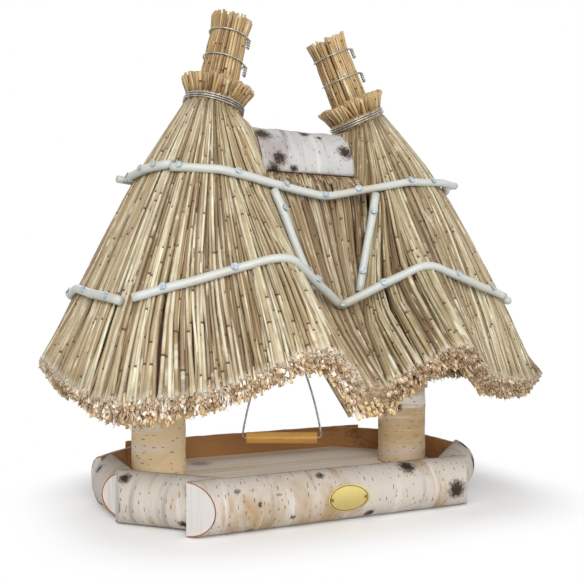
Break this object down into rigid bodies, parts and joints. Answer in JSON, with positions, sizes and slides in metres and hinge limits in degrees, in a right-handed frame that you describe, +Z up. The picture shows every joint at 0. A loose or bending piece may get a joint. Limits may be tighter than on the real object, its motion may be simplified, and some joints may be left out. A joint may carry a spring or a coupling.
{
  "type": "thatched bird feeder",
  "caption": "Octagonal birch seed tray on which posts carry a thatched roof with leaning reed chimneys, a birch ridge log and a hanging perch swing.",
  "frame": {"origin": "on the ground, under the middle of the whole outline; the tray's own middle is at X = -18 mm", "axes": "+Z up, -Y towards the front slab with the oval plate, +X along the tray to the right tower"},
  "size_m": [0.626, 0.504, 0.5809],
  "materials": {
    "birch_bark": "natural birch bark with dark lenticels, matte",
    "pine_board": "bare sawn pine, matte",
    "water_reed": "dry reed stems, straw to brown, satin",
    "peeled_willow": "peeled and bleached, satin",
    "galvanised_steel": "dull zinc coat",
    "brass": "satin",
    "turned_beech": "clear varnish"
  },
  "bodies": {
    "house": {"floor_board": "pine_board", "bearer_left": "pine_board", "bearer_right": "pine_board", "bearer_screws": "galvanised_steel", "rim_front": "birch_bark", "rim_front_left": "birch_bark", "rim_left": "birch_bark", "rim_back_left": "birch_bark", "rim_back": "birch_bark", "rim_back_right": "birch_bark", "rim_right": "birch_bark", "rim_front_right": "birch_bark", "rim_nails": "galvanised_steel", "oval_plate": "brass", "plate_pins": "brass", "post_left": "birch_bark", "post_right": "birch_bark", "post_screws": "galvanised_steel", "arm_left": "pine_board", "arm_right": "pine_board", "cross_beam": "pine_board", "stake_left": "pine_board", "stake_right": "pine_board", "ridge_beam": "pine_board", "timber_screws": "galvanised_steel", "thatch_left": "water_reed", "thatch_right": "water_reed", "thatch_saddle_front": "water_reed", "thatch_saddle_back": "water_reed", "neck_wire_left": "galvanised_steel", "neck_wire_right": "galvanised_steel", "ruff_left": "water_reed", "ruff_right": "water_reed", "chimney_left": "water_reed", "chimney_right": "water_reed", "chimney_wires_left": "galvanised_steel", "chimney_wires_right": "galvanised_steel", "ridge_log": "birch_bark", "ridge_screws": "galvanised_steel", "upper_rod_front": "peeled_willow", "upper_rod_back": "peeled_willow", "upper_rod_left": "peeled_willow", "upper_rod_right": "peeled_willow", "lower_rod_front_left": "peeled_willow", "lower_rod_front_right": "peeled_willow", "lower_rod_back_left": "peeled_willow", "lower_rod_back_right": "peeled_willow", "lower_rod_left": "peeled_willow", "lower_rod_right": "peeled_willow", "valley_rods_front": "peeled_willow", "valley_rods_back": "peeled_willow", "inner_rods_upper": "peeled_willow", "inner_rods_lower": "peeled_willow", "rod_nails_front": "galvanised_steel", "rod_nails_back": "galvanised_steel", "rod_nails_ends": "galvanised_steel", "swing_hook": "galvanised_steel"},
    "bail": {"swing_wire": "galvanised_steel"},
    "grip": {"swing_grip": "turned_beech"}
  },
  "joints": [
    {"name": "bail_swing", "type": "hinge", "parent": "house", "child": "bail", "pos_m": [-0.027, 0, 0.20078], "axis": [0.9063, -0.4226, 0], "range_deg": [-35, 35]},
    {"name": "grip_spin", "type": "hinge", "parent": "bail", "child": "grip", "pos_m": [-0.027, 0, 0.069], "axis": [0.9063, -0.4226, 0], "continuous": true}
  ]
}
